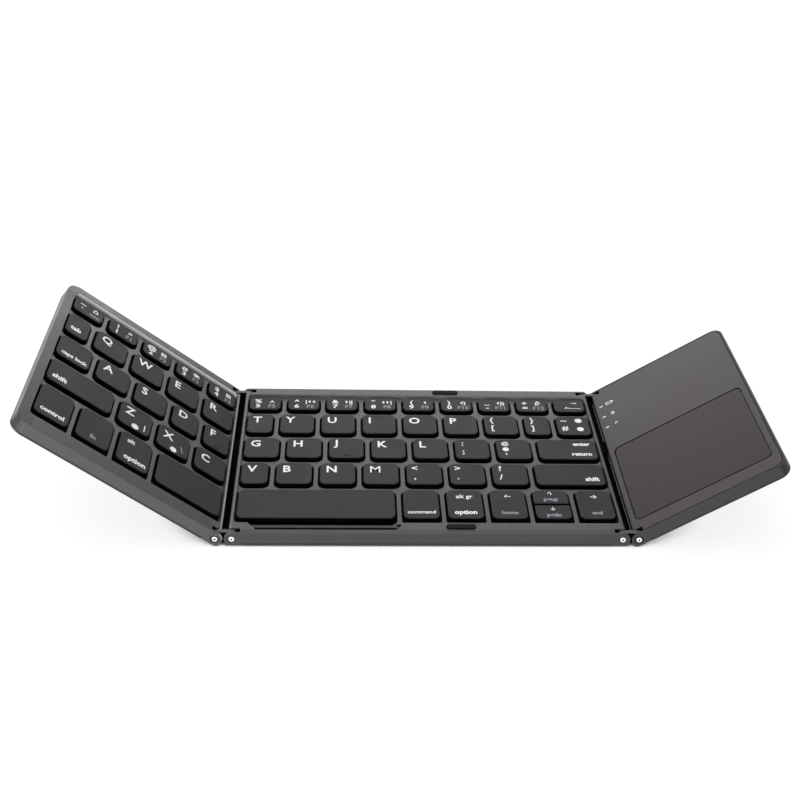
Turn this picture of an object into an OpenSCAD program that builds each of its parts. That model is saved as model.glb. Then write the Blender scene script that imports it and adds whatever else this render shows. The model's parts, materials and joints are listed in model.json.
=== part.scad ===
// Pocket folding keyboard with a touchpad: three thin panels, joined by two
// double-pin hinges, that close on each other like a book with two covers.
// Each panel is drawn lying flat with its underside at z = 0, then placed.

/* [Panels] */
// Front to back depth of every panel
panel_depth = 98; // [94:1:106]
// Thickness of every panel, underside to rim
panel_thick = 5.6; // [5.6:0.1:6.6]
// Distance between the two hinge pins of the centre panel
centre_span = 146.4; // [142:0.2:154]
// Left wing, hinge pin to outer edge
left_len = 84.2; // [80:0.2:88]
// Gap left between the tips of the two wings when both are closed
wing_seam = 0.7; // [0.4:0.1:1.5]
// Radius of the wings' outer corners, seen from above
corner_r = 5; // [3:0.5:7]
// Thickness of the outer walls
wall = 1.2; // [1:0.1:1.5]
// Thickness of the bottom plates
plate_t = 0.8; // [0.6:0.1:1]
// Height of the rubber feet
foot_h = 0.8; // [0.7:0.1:1.2]

/* [Fold] */
// Angle that the left wing is raised in the drawn pose
left_fold = 38; // [0:1:60]
// Angle that the right wing is raised in the drawn pose
right_fold = 34; // [0:1:60]
// Gap between facing rims when a wing is closed
closed_gap = 0.6; // [0.5:0.05:0.9]

/* [Hinge] */
// How far a panel's end face stands past its own pin
end_reach = 1.4; // [1.2:0.05:1.45]
// Radius along the top edge of an end face
end_round = 1.2; // [1:0.1:1.5]
// Thickness of a hinge cheek, measured along the pin
cheek_t = 1; // [0.9:0.1:1.2]
// Width of the pocket that the link turns in
pocket_w = 2.1; // [2:0.1:2.6]
// How far the pocket runs into the panel from the pin
pocket_in = 3.1; // [2.9:0.1:3.6]
// Thickness of the bearing wall behind the pocket
bearing_t = 1.6; // [1.3:0.1:1.9]
// Radius of the rounded ends of a link
link_r = 2.4; // [2.1:0.1:2.5]
// Side clearance of a link in its pocket
link_clear = 0.1; // [0.05:0.05:0.2]
// Radius of a lug's lower corner
lug_corner = 1.6; // [1:0.1:2]
// Lower corner of the middle panel's lugs, which no other lug passes
fixed_corner = 0.5; // [0.3:0.1:1.6]
// Radius of a hinge pin
pin_r = 0.7; // [0.5:0.05:0.8]
// Radius of a pin's head
pin_head_r = 1.15; // [1:0.05:1.3]
// Height of a pin's head
pin_head_h = 0.5; // [0.4:0.05:0.6]
// Radial running clearance of a pin in its bore
pin_clear = 0.05; // [0.02:0.01:0.08]
// Width of the spine strip that joins the two links
spine_w = 3; // [2:0.1:3.2]
// Thickness of the spine strip
spine_t = 1.1; // [0.8:0.1:1.1]

/* [Rims] */
// Width of the rim along the front of a key panel
rim_front = 6.6; // [6:0.1:8]
// Width of the rim along the rear of a key panel
rim_rear = 4.8; // [4.6:0.1:6]
// Width of the rim along a hinge
rim_hinge = 1.7; // [1.5:0.1:2]
// Width of the rim along the left wing's outer edge
rim_outer = 3.9; // [3.6:0.1:5]
// Depth of the well around the keys, rim to web
well_depth = 1.3; // [1:0.1:1.5]
// Thickness of the web between the keys
web_t = 0.8; // [0.6:0.1:1]

/* [Keys] */
// Gap between two keycap tops, side by side
key_gap_x = 3.3; // [2.8:0.1:3.8]
// Gap between two keycap tops, front to back
key_gap_y = 3.8; // [3.2:0.1:4.2]
// How far the keycap tops lie below the rim
key_drop = 0.2; // [0.1:0.05:0.4]
// Height of a keycap
cap_h = 2; // [1.8:0.1:2.2]
// Thickness of a keycap's top
cap_skin = 0.9; // [0.7:0.1:1]
// Thickness of a keycap's walls at the foot
cap_wall = 0.8; // [0.7:0.05:0.9]
// Radius of a keycap's corners
cap_r = 2.4; // [1:0.1:3]
// Travel of a key
key_travel = 1.2; // [0.8:0.1:1.3]
// Length of the raised bar on the two home keys
home_bar = 3; // [2:0.2:4]

/* [Touchpad] */
// Front to back size of the touchpad
touch_d = 45.8; // [40:0.2:50]
// Distance from the panel's front face to the touchpad
touch_front = 7.7; // [6:0.1:9]
// Distance from the hinge pin to the touchpad
touch_in = 2; // [1.6:0.1:4]
// Distance from the touchpad to the right wing's outer edge
touch_out = 3.8; // [3.6:0.1:6]
// Corner radius of the touchpad
touch_r = 2; // [1:0.2:4]
// Groove around the touchpad
touch_groove = 0.35; // [0.2:0.05:0.5]
// Thickness of the flat cover of the right wing
cover_t = 1; // [0.8:0.1:1.1]
// Width of the lip around that cover
cover_lip = 0.9; // [0.7:0.1:1]
// Seam between the cover and its lip
cover_seam = 0.15; // [0.1:0.05:0.3]

/* [Electronics] */
// Left to right size of the battery
battery_w = 48; // [40:1:50]
// Front to back size of the battery
battery_d = 38; // [30:1:40]
// Thickness of the circuit boards
board_t = 0.6; // [0.5:0.1:0.8]
// Height of the pads under the main board
board_pad = 0.4; // [0.3:0.1:0.5]
// Front to back size of the main board
board_d = 34; // [28:1:35]
// Width of the charging socket
socket_w = 7.5; // [7:0.1:8]
// Height of the charging socket
socket_h = 2.6; // [2.4:0.1:2.8]
// Length of the charging socket
socket_l = 5.4; // [5:0.1:6]
// Width of the flat cables that cross the hinges
flex_w = 8; // [5:0.5:9]
// Thickness of the flat cables
flex_t = 0.15; // [0.1:0.05:0.2]

/* [Fasteners] */
// Radius of a screw's thread
screw_r = 0.7; // [0.6:0.05:0.8]
// Radius of a screw's head
screw_head_r = 1.3; // [1.2:0.05:1.4]
// Height of a screw's head
screw_head_h = 0.4; // [0.3:0.05:0.45]
// Length of a screw's thread
screw_l = 3.2; // [2.6:0.1:3.4]
// Outer radius of a screw post
post_r = 1.6; // [1.4:0.1:1.8]
// Distance from a long edge to the screws
screw_in = 2.6; // [2.5:0.1:2.8]

/* [Hidden] */
$fn = 32;

// Spare length that keeps one cut clear of the faces it passes
over = 1;
// Clearance of pieces that are dropped in beside one another
fit = 0.1;

// Pins lie at half the panel's thickness, so that the rims close face to face
pin_z = panel_thick / 2;
link_pitch = panel_thick + closed_gap;
right_len = centre_span - left_len - wing_seam;
half_d = panel_depth / 2;
half_span = centre_span / 2;

// Moves the drawn pose so that its bounding box is centred on the origin
left_tip = half_span + link_pitch + left_len * cos(left_fold) + pin_z * sin(left_fold);
right_tip = half_span + link_pitch + right_len * cos(right_fold) + pin_z * sin(right_fold);
frame_shift = (left_tip - right_tip) / 2;

// Hinge blocks at the corners of each hinged end
block_y = half_d - cheek_t - pocket_w - bearing_t;
pocket_y = half_d - cheek_t - pocket_w;
block_len = pocket_in + 1;
end_wall = 1;
counterbore_r = 1.75;
counterbore_h = 0.25;
link_t = pocket_w - 2 * link_clear;
pin_tip = 0.3;

// Levels inside a panel
web_top = panel_thick - well_depth;
web_low = web_top - web_t;
key_top = panel_thick - key_drop;
sheet_t = 0.3;
support_top = plate_t + sheet_t;
membrane_top = support_top + sheet_t;
cap_under = key_top - cap_skin;
thread_top = 3.7;

// Keycap skirts widen downwards by these amounts
skirt_side = 0.25;
skirt_front = 0.6;
skirt_rear = 0.1;
skirt_foot = 0.4;
// Openings in the web, measured from the keycap tops
slit_side = 0.8;
slit_front = 1.8;
slit_rear = 0.6;
slit_r = cap_r + 0.6;
well_r = 1.5;
// Keycap tops, measured from the edges of the well
field_side = 0.65;
field_front = 3;
field_rear = 1.9;

// Key widths in key units, row by row from the rear to the front
centre_rows = [
  [1, 1, 1, 1, 1, 1, 1, 1, 1],
  [0.8, 1, 1, 1, 1, 1, 1, 0.8, 1],
  [1, 1, 1, 1, 1, 1, 1, 1.6],
  [0.8, 1, 1, 1, 1, 1, 1, 1.8],
  [3.68, 0.984, 0.984, 0.984, 0.984, 0.984]
];
left_rows = [
  [1, 1, 1, 1, 1],
  [0.75, 1, 1, 1, 1],
  [1, 1, 1, 0.875, 0.875],
  [1.77, 1, 1, 1],
  [0.97, 0.97, 0.97, 1.84]
];
// Row depths in the same way
row_units = [0.75, 1, 1, 1, 1.225];
last_row = len(row_units) - 1;
// Column of the front row that holds the up and down keys
arrow_col = 4;
arrow_split = 1.2;
// Home keys: the row, and the column on each panel
home_row = 2;
home_col_left = 4;
home_col_centre = 2;

// Ends of each well along x, in its own panel
centre_well = [-half_span - end_reach + rim_hinge, half_span + end_reach - rim_hinge];
left_well = [-left_len + rim_outer, end_reach - rim_hinge];
well_front = -half_d + rim_front;
well_rear = half_d - rim_rear;
field_y = [well_front + field_front, well_rear - field_rear];

// Sum of the first n entries of a list
function sum_to(list, n) = n <= 0 ? 0 : list[n - 1] + sum_to(list, n - 1);
function total(list) = sum_to(list, len(list));
// Size of one unit along a run of keys that fills a length
function unit(list, length, gap) = (length + gap) / total(list);
// Rounds a place to a thousandth of a millimetre
function snap(v) = round(v * 1000) / 1000;
// Start and end of entry i in a run of keys that starts at a
function run_start(list, i, a, length, gap) = snap(a + sum_to(list, i) * unit(list, length, gap));
function run_end(list, i, a, length, gap) = run_start(list, i + 1, a, length, gap) - gap;
// Keycap top of row r and column c in a well: [x0, x1, y0, y1]
function key_box(rows, well, r, c) = let (
    a = well[0] + field_side,
    w = well[1] - well[0] - 2 * field_side,
    depth = field_y[1] - field_y[0]
  ) [
    run_start(rows[r], c, a, w, key_gap_x),
    run_end(rows[r], c, a, w, key_gap_x),
    -run_end(row_units, r, -field_y[1], depth, key_gap_y),
    -run_start(row_units, r, -field_y[1], depth, key_gap_y)
  ];
function wide(box) = box[1] - box[0];
function deep(box) = box[3] - box[2];
function mid_x(box) = (box[0] + box[1]) / 2;
function mid_y(box) = (box[2] + box[3]) / 2;
// Rear and front half of a box, parted by a gap
function rear_half(box, gap) = [box[0], box[1], mid_y(box) + gap / 2, box[3]];
function front_half(box, gap) = [box[0], box[1], box[2], mid_y(box) - gap / 2];
function is_split(rows, r, c) = len(rows) > 0 && rows == centre_rows && r == last_row && c == arrow_col;

space_box = key_box(centre_rows, centre_well, last_row, 0);
arrow_box = key_box(centre_rows, centre_well, last_row, arrow_col);

// Finger recess in front of the space bar, with its floor level with the web
recess_d = 4.1;
recess_z = well_depth;
recess_left = 7.8;
recess_right = 3.3;
recess_slope = 3.4;

// Rubber bumpers under the tips of the closed wings
bumper_l = 11;
bumper_w = 2.3;
bumper_seat = 0.6;
bumper_proud = 0.5;
bumper_off = 0.8;
bumper_from_front = 4.1;
bumper_from_rear = 2.2;
bumper_x = half_span - right_len - wing_seam / 2 + bumper_off;
bumper_front = -half_d + bumper_from_front;
bumper_rear = half_d - bumper_from_rear;

// Main board: distance from the rear face, and from the hinge pin
board_rear = 7;
board_in = 0.4;
board_front = half_d - board_rear - board_d;

// Flat cables, which end on the main board
flex_from_board = 4.5;
flex_y = board_front + flex_from_board;
flex_room = 0.5;
flex_slot = [plate_t + 0.15, membrane_top + 0.8];
flex_tail = 1.1;

// Touchpad and cover of the right wing
cover_low = panel_thick - cover_t;
touch_box = [touch_in, right_len - touch_out, -half_d + touch_front, -half_d + touch_front + touch_d];
touch_edge = 1;
touch_drop = 0.05;
sensor_t = 0.8;
sensor_low = cover_low - sensor_t;
ledge_w = 1;
ledge_t = 0.8;

// Indicator lights: distance from the pin, and places along the depth
light_x = 2;
light_from_rear = 13;
light_pitch = 7.7;
light_y = [for (i = [0 : 2]) half_d - light_from_rear - i * light_pitch];
light_fit = 0.05;
light_size = [1.6, 0.6];
light_flange = 0.4;
light_flange_t = 0.4;
light_gap = 0.1;
led_size = [1.4, 0.8, 0.6];

// Closing magnets
magnet_l = 12;
magnet_w = 2.2;
magnet_t = 2.4;

// Battery and main board, which both end beside the right wing's magnet
bay_room = 0.3;
bay_end = right_len - wall - magnet_w - bay_room;
battery_front = 8.5;
battery_r = 1.5;
battery_room = 0.2;
battery_t = sensor_low - plate_t - battery_room;
board_low = plate_t + board_pad;
board_top = board_low + board_t;
pad_size = 3;
// Chips: distance from the board's hinge end and front edge, size and height
chips = [[15.6, 22, 7, 7, 1.2], [33.6, 10, 9, 6, 1], [29.6, 25, 5, 5, 0.9], [11.6, 8, 6, 3, 1.4]];
socket_from_rear = 19;
socket_y = half_d - socket_from_rear;
socket_wall = 0.3;
socket_tongue = [4, 0.6];
socket_tongue_in = 1;
socket_r = 0.6;

// Feet: size of one, and distance from the edges
foot_l = 12;
foot_w = 4.5;
foot_in = 9;
foot_end = 15;
screw_end = 12;
head_room = 0.1;
thread_room = 0.02;

// Scissor lever under a key, tilted either way about its pivot
lever_l = 8.4;
lever_t = 0.6;
lever_end = 0.9;
lever_side = 0.5;
lever_wide = 6.2;
lever_narrow = 5;
lever_rise = asin((cap_under - membrane_top - 2 * lever_t) / lever_l);
lever_pivot_r = 0.25;
dome_base_r = 2.2;
dome_top_r = 1.3;
// A keycap wider than this stands on two levers, this share of its width off centre
two_levers = 19;
lever_spread = 0.3;

// Places in which the pieces are drawn
module at_centre() translate([frame_shift, 0, foot_h]) children();
module at_left_pin() at_centre() translate([-half_span - link_pitch, 0, pin_z])
  rotate([0, left_fold, 0]) children();
module at_right_pin() at_centre() translate([half_span + link_pitch, 0, pin_z])
  rotate([0, -right_fold, 0]) children();
module at_left() at_left_pin() translate([0, 0, -pin_z]) children();
module at_right() at_right_pin() translate([0, 0, -pin_z]) children();
// The two hinges: the inner pin is the origin and the wing's pin lies along +x
module at_right_hinge() at_centre() translate([half_span, 0, pin_z]) children();
module at_left_hinge() at_centre() translate([-half_span, 0, pin_z]) mirror([1, 0, 0]) children();
// Both ends of the centre panel, with the hinge towards +x
module centre_ends() for (side = [0, 1]) mirror([side, 0, 0])
  translate([half_span, 0, pin_z]) children();
// The hinged end of each wing
module left_end() translate([0, 0, pin_z]) children();
module right_end() translate([0, 0, pin_z]) mirror([1, 0, 0]) children();
module front_and_rear() for (side = [0, 1]) mirror([0, side, 0]) children();

// Extrudes an x-z outline between two places along y
module along_y(y0, y1) translate([0, y1, 0]) rotate([90, 0, 0]) linear_extrude(y1 - y0) children();
// Extrudes a y-z outline between two places along x
module along_x(x0, x1) translate([x0, 0, 0]) rotate([90, 0, 90]) linear_extrude(x1 - x0) children();

// Rectangle [x0, x1, y0, y1], plain or with round corners
module rect(box) translate([box[0], box[2]]) square([wide(box), deep(box)]);
module round_rect(box, r) {
  rect([box[0] + r, box[1] - r, box[2], box[3]]);
  rect([box[0], box[1], box[2] + r, box[3] - r]);
  for (x = [box[0] + r, box[1] - r], y = [box[2] + r, box[3] - r]) translate([x, y]) circle(r);
}
// Bar with two round ends
module stadium(l, w) {
  square([l - w, w], center = true);
  for (x = [-1, 1] * (l - w) / 2) translate([x, 0]) circle(w / 2);
}
function grown(box, side, front, rear) = [box[0] - side, box[1] + side, box[2] - front, box[3] + rear];

// Plan of a panel between its hinged ends. A round end is at -length.
module centre_plan(inset = 0) {
  rect([-half_span, half_span, -half_d + inset, half_d - inset]);
  rect([-half_span - end_reach, half_span + end_reach, -half_d + cheek_t, half_d - cheek_t]);
}
module wing_plan(length, inset = 0) {
  r = corner_r - inset;
  difference() {
    round_rect([-length + inset, r, -half_d + inset, half_d - inset], r);
    rect([0, r + over, -half_d, half_d]);
  }
  rect([-over, end_reach, -half_d + cheek_t, half_d - cheek_t]);
}
// Corners that the hinge blocks take
module block_plan(room = 0) front_and_rear()
  rect([-block_len - room, end_reach + over, block_y - room, half_d + over]);
// The room inside a panel: its plan less the walls and the hinge blocks
module wing_room(length, inset) difference() {
  intersection() {
    wing_plan(length, inset);
    rect([-length, end_reach - end_wall, -half_d, half_d]);
  }
  block_plan();
}
module centre_room() difference() {
  rect([-half_span - end_reach + end_wall, half_span + end_reach - end_wall, -half_d + wall, half_d - wall]);
  for (side = [0, 1]) mirror([side, 0]) translate([half_span, 0]) block_plan();
}

// Side view of a hinge lug: round above, with a stop corner below
module lug_profile(corner) {
  circle(pin_z);
  translate([-block_len, -pin_z]) square([block_len, panel_thick]);
  translate([0, -pin_z + corner]) square([pin_z, pin_z - corner]);
  translate([0, -pin_z]) square([pin_z - corner, corner]);
  translate([pin_z - corner, corner - pin_z]) circle(corner);
}
// What a hinged end adds to a frame
module hinge_solid(corner = lug_corner) front_and_rear() {
  along_y(half_d - cheek_t, half_d) lug_profile(corner);
  along_y(block_y, half_d - cheek_t)
    translate([-block_len, -pin_z]) square([block_len + end_reach, panel_thick]);
}
// Corner above the rounded top edge of an end face
module end_corner() difference() {
  translate([end_reach - end_round, pin_z - end_round]) square(end_round + over);
  translate([end_reach - end_round, pin_z - end_round]) circle(end_round);
}
// What a hinged end takes out of a frame or its cover
module hinge_cut() {
  along_y(-half_d + cheek_t, half_d - cheek_t) end_corner();
  front_and_rear() {
    along_y(pocket_y, half_d - cheek_t) translate([-pocket_in, -panel_thick])
      square([pocket_in + panel_thick, 2 * panel_thick]);
    along_y(block_y + pin_tip, half_d + over) circle(pin_r + pin_clear);
    along_y(half_d - counterbore_h, half_d + over) circle(counterbore_r);
  }
}
// Passage of a flat cable through an end wall
module flex_cut() translate([-over, flex_y - flex_w / 2 - flex_room, flex_slot[0] - pin_z])
  cube([end_reach + 2 * over, flex_w + 2 * flex_room, flex_slot[1] - flex_slot[0]]);

// Screw places of a panel between x0 and x1, n along each long edge
module screw_places(x0, x1, n) for (i = [0 : n - 1]) front_and_rear()
  translate([x0 + i * (x1 - x0) / (n - 1), half_d - screw_in, 0]) children();
module centre_screw_places() screw_places(-half_span + screw_end, half_span - screw_end, 3) children();
module left_screw_places() screw_places(-left_len + screw_end, -screw_end, 2) children();
module right_screw_places() screw_places(screw_end, right_len - screw_end, 2) children();
module post(top) translate([0, 0, plate_t]) cylinder(r = post_r, h = top - plate_t);
module thread_hole() translate([0, 0, -over]) cylinder(r = screw_r + thread_room, h = thread_top + over);
module screw() {
  translate([0, 0, head_room]) cylinder(r = screw_head_r, h = screw_head_h);
  translate([0, 0, head_room]) cylinder(r = screw_r, h = screw_l);
}
module plate_hole() {
  translate([0, 0, -over]) cylinder(r = screw_head_r + fit, h = over + head_room + screw_head_h);
  translate([0, 0, -over]) cylinder(r = screw_r + fit, h = 2 * over + plate_t);
}
// Foot places of a panel between x0 and x1
module foot_places(x0, x1) for (x = [x0, x1]) front_and_rear() translate([x, half_d - foot_in, 0]) children();
module foot() translate([0, 0, -foot_h]) linear_extrude(foot_h) stadium(foot_l, foot_w);

// Openings for the keys of one panel
module key_openings(rows, well) for (r = [0 : last_row], c = [0 : len(rows[r]) - 1]) {
  front = r == last_row ? field_front : slit_front;
  translate([0, 0, web_low - over]) linear_extrude(panel_thick)
    round_rect(grown(key_box(rows, well, r, c), slit_side, front, slit_rear), slit_r);
}
module key_well(well) translate([0, 0, web_top]) linear_extrude(well_depth + over)
  round_rect([well[0], well[1], well_front, well_rear], well_r);

// Cutting shape that slopes a keycap's four sides above an upright foot
module slope_profile(a, b, skirt_a, skirt_b) {
  down = (cap_h + over) / (cap_h - skirt_foot);
  up = over / (cap_h - skirt_foot);
  polygon([
    [a - skirt_a * down, -cap_h - over], [b + skirt_b * down, -cap_h - over],
    [b - skirt_b * up, over], [a + skirt_a * up, over]
  ]);
}
module skirt_slopes(box) {
  low = grown(box, skirt_side, skirt_front, skirt_rear);
  intersection() {
    along_y(low[2] - over, low[3] + over) slope_profile(box[0], box[1], skirt_side, skirt_side);
    along_x(low[0] - over, low[1] + over) slope_profile(box[2], box[3], skirt_front, skirt_rear);
  }
}
// Hollow keycap over a top outline
module keycap(box, bar = false) translate([0, 0, key_top]) {
  low = grown(box, skirt_side, skirt_front, skirt_rear);
  difference() {
    intersection() {
      translate([0, 0, -cap_h]) linear_extrude(cap_h) round_rect(low, cap_r);
      skirt_slopes(box);
    }
    translate([0, 0, -cap_h - over]) linear_extrude(cap_h - cap_skin + over)
      round_rect(grown(low, -cap_wall, -cap_wall, -cap_wall), cap_r - cap_wall);
  }
  if (bar) translate([mid_x(box) - home_bar / 2, box[2] + 1.6, -fit])
    cube([home_bar, 0.5, fit + 0.15]);
}
module left_keys(r, columns) color("#3b3b3d") at_left() for (c = columns)
  keycap(key_box(left_rows, left_well, r, c), r == home_row && c == home_col_left);
module centre_keys(r, columns) color("#3b3b3d") at_centre() for (c = columns)
  keycap(key_box(centre_rows, centre_well, r, c), r == home_row && c == home_col_centre);

// Every key of a panel that a lever and a dome carry, the split one as its two halves
function key_list(rows, well) = [
  for (r = [0 : last_row]) for (c = [0 : len(rows[r]) - 1])
    let (box = key_box(rows, well, r, c))
      each (is_split(rows, r, c) ? [rear_half(box, arrow_split), front_half(box, arrow_split)] : [box])
];
module lever(width, tilt) rotate([0, tilt, 0]) difference() {
  cube([lever_l, width, lever_t], center = true);
  cube([lever_l - 2 * lever_end, width - 2 * lever_side, 2 * lever_t], center = true);
}
module scissor() {
  lever(lever_wide, lever_rise);
  lever(lever_narrow, -lever_rise);
  front_and_rear() along_y(lever_narrow / 2 - lever_side, lever_wide / 2) circle(lever_pivot_r);
}
module scissors(rows, well) for (box = key_list(rows, well)) {
  spread = wide(box) * lever_spread;
  for (x = wide(box) > two_levers ? [-spread, spread] : [0])
    translate([mid_x(box) + x, mid_y(box), (membrane_top + cap_under) / 2]) scissor();
}
module domes(rows, well) for (box = key_list(rows, well))
  translate([mid_x(box), mid_y(box), membrane_top])
    cylinder(r1 = dome_base_r, r2 = dome_top_r, h = cap_under - membrane_top);
// Sheet under the keys of a well
module key_sheet(well, low, top, grow) translate([0, 0, low]) linear_extrude(top - low)
  rect([well[0] + field_side - grow, well[1] - field_side + grow, field_y[0] - grow, field_y[1] + grow]);
support_grow = 0.8;
membrane_grow = 0.3;

// Centre panel
module centre_bottom_plate() color("#4a4a4c") at_centre() difference() {
  linear_extrude(plate_t) difference() {
    centre_plan();
    for (side = [0, 1]) mirror([side, 0]) translate([half_span, 0]) block_plan(fit);
  }
  centre_screw_places() plate_hole();
}
module finger_recess() translate([0, 0, panel_thick - recess_z]) linear_extrude(recess_z + over) polygon([
  [space_box[0] + recess_left - recess_slope, well_front + fit],
  [space_box[1] + recess_right, well_front + fit],
  [space_box[1] + recess_right - recess_slope, well_front - recess_d],
  [space_box[0] + recess_left, well_front - recess_d]
]);
module bumper_places() for (y = [bumper_front, bumper_rear]) translate([bumper_x, y, panel_thick]) children();
module centre_key_frame() color("#5e5e60") at_centre() difference() {
  union() {
    translate([0, 0, plate_t]) linear_extrude(web_low - plate_t) difference() {
      centre_plan();
      centre_room();
    }
    translate([0, 0, web_low]) linear_extrude(panel_thick - web_low) centre_plan();
    centre_screw_places() post(web_low);
    centre_ends() hinge_solid(fixed_corner);
  }
  key_well(centre_well);
  key_openings(centre_rows, centre_well);
  finger_recess();
  bumper_places() translate([0, 0, -bumper_seat]) linear_extrude(bumper_seat + over)
    stadium(bumper_l + 2 * fit, bumper_w + 2 * fit);
  centre_screw_places() thread_hole();
  centre_ends() hinge_cut();
  centre_ends() flex_cut();
}
module centre_support_plate() color("silver") at_centre() key_sheet(centre_well, plate_t, support_top, support_grow);
module centre_membrane() color("#c9b98a") at_centre() key_sheet(centre_well, support_top, membrane_top, membrane_grow);
module centre_scissors() color("#d8d8d4") at_centre() scissors(centre_rows, centre_well);
module centre_domes() color("#8f8f8f") at_centre() domes(centre_rows, centre_well);
module centre_screws() color("#9a9a9a") at_centre() centre_screw_places() screw();
module centre_feet() color("#202020") at_centre() foot_places(-half_span + foot_end, half_span - foot_end) foot();
module rim_bumpers() color("#161616") at_centre() bumper_places()
  translate([0, 0, -bumper_seat]) linear_extrude(bumper_seat + bumper_proud) stadium(bumper_l, bumper_w);

// Left wing
module left_bottom_plate() color("#4a4a4c") at_left() difference() {
  linear_extrude(plate_t) difference() {
    wing_plan(left_len);
    block_plan(fit);
  }
  left_screw_places() plate_hole();
}
module left_key_frame() color("#5e5e60") at_left() difference() {
  union() {
    translate([0, 0, plate_t]) linear_extrude(web_low - plate_t) difference() {
      wing_plan(left_len);
      wing_room(left_len, wall);
    }
    translate([0, 0, web_low]) linear_extrude(panel_thick - web_low) wing_plan(left_len);
    left_screw_places() post(web_low);
    left_end() hinge_solid();
  }
  key_well(left_well);
  key_openings(left_rows, left_well);
  left_screw_places() thread_hole();
  left_end() hinge_cut();
  left_end() flex_cut();
}
module left_support_plate() color("silver") at_left() key_sheet(left_well, plate_t, support_top, support_grow);
module left_membrane() color("#c9b98a") at_left() key_sheet(left_well, support_top, membrane_top, membrane_grow);
module left_scissors() color("#d8d8d4") at_left() scissors(left_rows, left_well);
module left_domes() color("#8f8f8f") at_left() domes(left_rows, left_well);
module left_screws() color("#9a9a9a") at_left() left_screw_places() screw();
module left_feet() color("#202020") at_left() foot_places(-left_len + foot_end, -foot_end) foot();
module magnet() translate([0, -magnet_l / 2, plate_t]) cube([magnet_w, magnet_l, magnet_t]);
module left_magnet() color("#b4b4b8") at_left() translate([-left_len + wall, 0, 0]) magnet();

// Right wing
module right_plan(inset = 0) mirror([1, 0]) wing_plan(right_len, inset);
module right_blocks(room = 0) mirror([1, 0]) block_plan(room);
module board_pads() for (x = [board_in + pad_size, bay_end - pad_size],
    y = [board_front + pad_size, board_front + board_d - pad_size])
  translate([x - pad_size / 2, y - pad_size / 2, plate_t]) cube([pad_size, pad_size, board_pad]);
module right_bottom_plate() color("#4a4a4c") at_right() {
  difference() {
    linear_extrude(plate_t) difference() {
      right_plan();
      right_blocks(fit);
    }
    right_screw_places() plate_hole();
  }
  board_pads();
}
module cover_plan(inset) intersection() {
  right_plan(inset);
  rect([-end_reach, right_len, -half_d + inset, half_d - inset]);
}
module right_frame() color("#5e5e60") at_right() difference() {
  union() {
    translate([0, 0, plate_t]) linear_extrude(cover_low - ledge_t - plate_t) difference() {
      right_plan();
      mirror([1, 0]) wing_room(right_len, wall);
    }
    translate([0, 0, cover_low - ledge_t]) linear_extrude(ledge_t) difference() {
      right_plan();
      mirror([1, 0]) wing_room(right_len, wall + ledge_w);
    }
    translate([0, 0, cover_low]) linear_extrude(cover_t) difference() {
      right_plan();
      cover_plan(cover_lip);
      rect([-over - end_reach, corner_r, -half_d + cheek_t, half_d - cheek_t]);
    }
    right_screw_places() post(cover_low);
    difference() {
      right_end() hinge_solid();
      translate([-over - end_reach, -half_d + cheek_t, cover_low])
        cube([block_len + 2 * over + end_reach, panel_depth - 2 * cheek_t, cover_t + over]);
    }
  }
  right_screw_places() thread_hole();
  right_end() hinge_cut();
  right_end() flex_cut();
  translate([right_len - 2 * wall, socket_y - socket_w / 2 - fit, board_top - fit])
    cube([3 * wall, socket_w + 2 * fit, socket_h + 2 * fit]);
}
module touch_plan(grow) round_rect(grown(touch_box, grow, grow, grow), touch_r + grow);
module light_places() for (y = light_y) translate([light_x, y, 0]) children();
module light_plan(grow) translate([-light_size[0] / 2 - grow, -light_size[1] / 2 - grow])
  square([light_size[0] + 2 * grow, light_size[1] + 2 * grow]);
module right_cover() color("#5a5759") at_right() difference() {
  translate([0, 0, cover_low]) linear_extrude(cover_t) difference() {
    cover_plan(cover_lip + cover_seam);
    touch_plan(touch_groove);
  }
  right_end() hinge_cut();
  light_places() translate([0, 0, cover_low - over]) linear_extrude(cover_t + 2 * over) light_plan(light_fit);
}
module touchpad_plate() color("#544e4c") at_right() translate([0, 0, cover_low])
  linear_extrude(cover_t - touch_drop) touch_plan(0);
module touchpad_board() color("#2f6b45") at_right() translate([0, 0, sensor_low])
  linear_extrude(sensor_t) touch_plan(touch_edge);
module battery() color("#b9bdc4") at_right() translate([0, 0, plate_t]) linear_extrude(battery_t)
  round_rect([bay_end - battery_w, bay_end, -half_d + battery_front, -half_d + battery_front + battery_d], battery_r);
module main_board() color("#1f5a3a") at_right() {
  translate([board_in, board_front, board_low]) cube([bay_end - board_in, board_d, board_t]);
  light_places() translate([-led_size[0] / 2, -led_size[1] / 2, board_top - fit])
    cube([led_size[0], led_size[1], led_size[2] + fit]);
  for (chip = chips) translate([board_in + chip[0], board_front + chip[1] - chip[3] / 2, board_top - fit])
    cube([chip[2], chip[3], chip[4] + fit]);
}
module charging_socket() color("#c4c6c8") at_right() {
  translate([0, socket_y, board_top + socket_h / 2]) {
    along_x(right_len - socket_l, right_len - fit) difference() {
      round_rect([-socket_w / 2, socket_w / 2, -socket_h / 2, socket_h / 2], socket_r);
      round_rect([-socket_w / 2 + socket_wall, socket_w / 2 - socket_wall,
        -socket_h / 2 + socket_wall, socket_h / 2 - socket_wall], socket_r - socket_wall);
    }
    along_x(right_len - socket_l, right_len - socket_l + socket_wall)
      square([socket_w - socket_wall, socket_h - socket_wall], center = true);
    along_x(right_len - socket_l, right_len - socket_tongue_in) square(socket_tongue, center = true);
  }
}
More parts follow.
